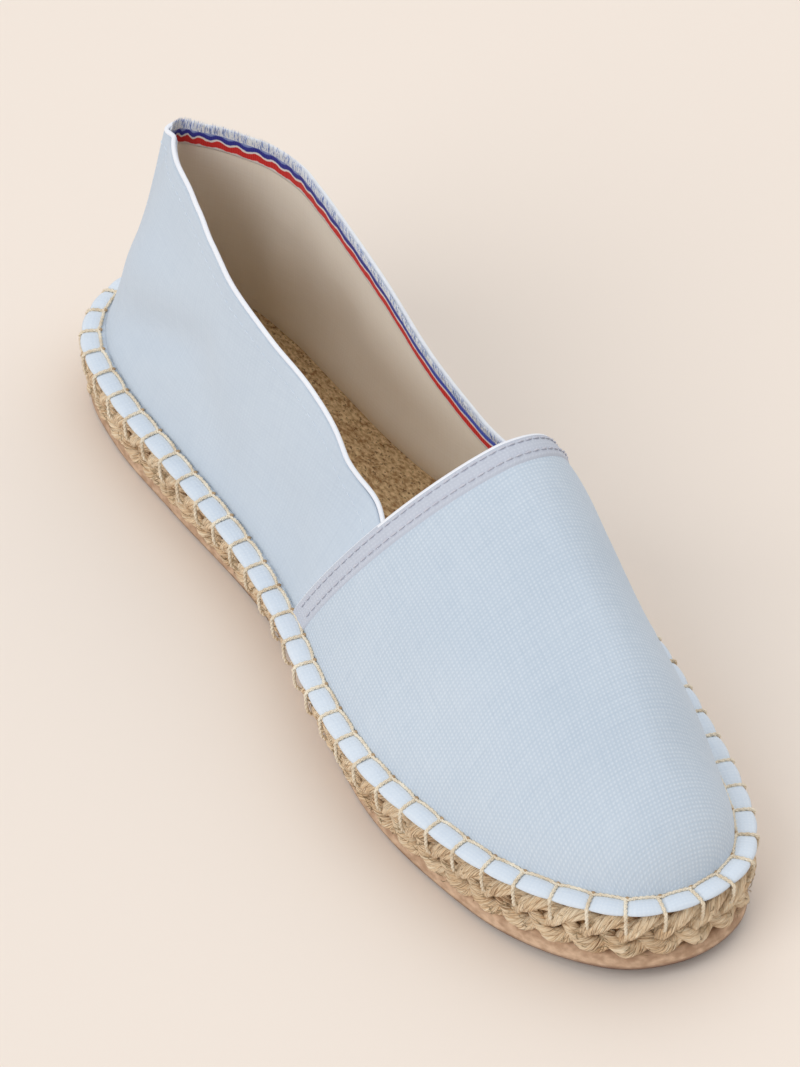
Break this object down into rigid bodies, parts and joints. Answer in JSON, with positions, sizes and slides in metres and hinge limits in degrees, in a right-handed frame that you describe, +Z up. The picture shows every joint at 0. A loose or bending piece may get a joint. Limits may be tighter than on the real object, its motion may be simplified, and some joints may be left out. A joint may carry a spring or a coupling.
{
  "type": "espadrille",
  "caption": "Left slip-on shoe with a light blue canvas upper stitched to a braided jute sole over thin rubber.",
  "frame": {"origin": "on the floor, under the middle of the shoe's length and width", "axes": "+X towards the toe, +Y towards the outer side of the foot, +Z up"},
  "size_m": [0.2619, 0.0853, 0.0789],
  "materials": {
    "rubber": "matt pale tan crepe",
    "jute": "braided natural jute",
    "footbed": "coarse jute footbed",
    "canvas": "light blue cotton canvas with a cream inside",
    "tape": "woven selvedge with navy, white and red lines"
  },
  "bodies": {
    "root": {"rubber_outsole": "rubber", "rope_sole": "jute", "insole": "footbed", "canvas_upper": "canvas", "collar_tape": "tape"}
  },
  "joints": []
}
